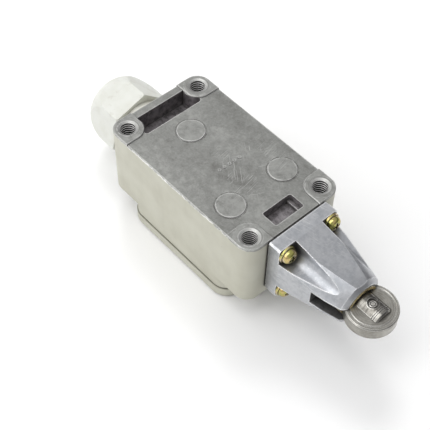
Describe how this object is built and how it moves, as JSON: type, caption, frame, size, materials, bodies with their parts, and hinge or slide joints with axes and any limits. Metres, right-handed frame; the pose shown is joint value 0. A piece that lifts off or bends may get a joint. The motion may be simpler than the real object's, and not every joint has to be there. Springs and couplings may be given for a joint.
{
  "type": "limit switch",
  "caption": "Limit switch with a die-cast box housing, a tapered head whose spring-loaded plunger carries a steel roller, a built-in snap switch and a cable gland.",
  "frame": {"origin": "centre of the four mounting holes, on the plane of the rear corner bosses", "axes": "+X towards the roller along the long side, +Z out of the rear mounting face, +Y completes the right-handed frame; the switch rests on its front cover"},
  "size_m": [0.1359, 0.04, 0.0374],
  "materials": {
    "housing_casting": "satin ivory paint on the sides, bare die-cast metal on the rear face",
    "cover_paint": "satin ivory paint with a fine orange-peel texture",
    "black_rubber": "matt moulded rubber",
    "zinc_steel": "bright zinc plate",
    "label_aluminium": "blank satin plate",
    "head_casting": "satin die-cast metal, burnished along its edges",
    "yellow_zinc_steel": "yellow passivated zinc plate",
    "plunger_steel": "ground steel, lightly tarnished",
    "roller_steel": "turned sintered steel, worn grey-brown",
    "pin_steel": "ground steel pin end",
    "brass": "turned brass",
    "spring_steel": "drawn spring wire",
    "switch_plastic": "moulded phenolic resin",
    "switch_cover_plastic": "moulded dark red plastic",
    "button_plastic": "moulded red plastic",
    "copper_alloy": "rolled copper alloy",
    "silver": "silver contact face",
    "gland_plastic": "off-white moulded plastic",
    "gland_nut_plastic": "off-white moulded plastic, slightly worn",
    "gland_ring_plastic": "off-white moulded plastic"
  },
  "bodies": {
    "root": {"housing": "housing_casting", "front_cover": "cover_paint", "cover_gasket": "black_rubber", "cover_screws": "zinc_steel", "label_plate": "label_aluminium", "head_body": "head_casting", "head_gasket": "black_rubber", "head_screws": "yellow_zinc_steel", "head_screw_washers": "yellow_zinc_steel", "plunger_bush": "brass", "wiper_ring": "black_rubber", "plunger_seal": "black_rubber", "return_spring": "spring_steel", "overtravel_spring": "spring_steel", "switch_case": "switch_plastic", "switch_case_cover": "switch_cover_plastic", "nc_contacts": "silver", "no_contacts": "silver", "contact_spring": "spring_steel", "button_return_spring": "spring_steel", "nc_terminal_strips": "brass", "no_terminal_strips": "brass", "terminal_screws": "zinc_steel", "terminal_washers": "zinc_steel", "switch_mounting_screws": "zinc_steel", "ground_screw": "yellow_zinc_steel", "gland_body": "gland_plastic", "gland_washer": "black_rubber", "gland_grommet": "black_rubber", "gland_friction_ring": "gland_ring_plastic", "gland_nut": "gland_nut_plastic"},
    "plunger": {"plunger": "plunger_steel", "roller_pin": "pin_steel", "rod_retaining_ring": "spring_steel"},
    "roller": {"roller": "roller_steel"},
    "push_rod": {"push_rod": "plunger_steel"},
    "switch_button": {"switch_button": "button_plastic"},
    "contact_bridge": {"contact_bridge": "copper_alloy", "bridge_contacts": "silver"}
  },
  "joints": [
    {"name": "plunger_travel", "type": "slide", "parent": "root", "child": "plunger", "axis": [-1, 0, 0], "range_m": [0, 0.0073], "stiffness_N_per_m": 2700, "springref_m": -0.0044, "deforming": ["return_spring", "overtravel_spring"]},
    {"name": "roller_spin", "type": "hinge", "parent": "plunger", "child": "roller", "pos_m": [0.0671, 0, -0.012], "axis": [0, 0, 1], "continuous": true},
    {"name": "push_rod_travel", "type": "slide", "parent": "root", "child": "push_rod", "axis": [-1, 0, 0], "range_m": [0, 0.0023]},
    {"name": "button_travel", "type": "slide", "parent": "root", "child": "switch_button", "axis": [-1, 0, 0], "range_m": [0, 0.0023], "deforming": ["contact_spring"]},
    {"name": "contact_travel", "type": "slide", "parent": "root", "child": "contact_bridge", "axis": [-1, 0, 0], "range_m": [0, 0.0014], "deforming": ["button_return_spring"]}
  ],
  "couplings": [
    {"joint": "push_rod_travel", "follows": "plunger_travel", "ratio": 0.3},
    {"joint": "button_travel", "follows": "plunger_travel", "ratio": 0.3},
    {"joint": "contact_travel", "follows": "plunger_travel", "ratio": 0.18}
  ]
}
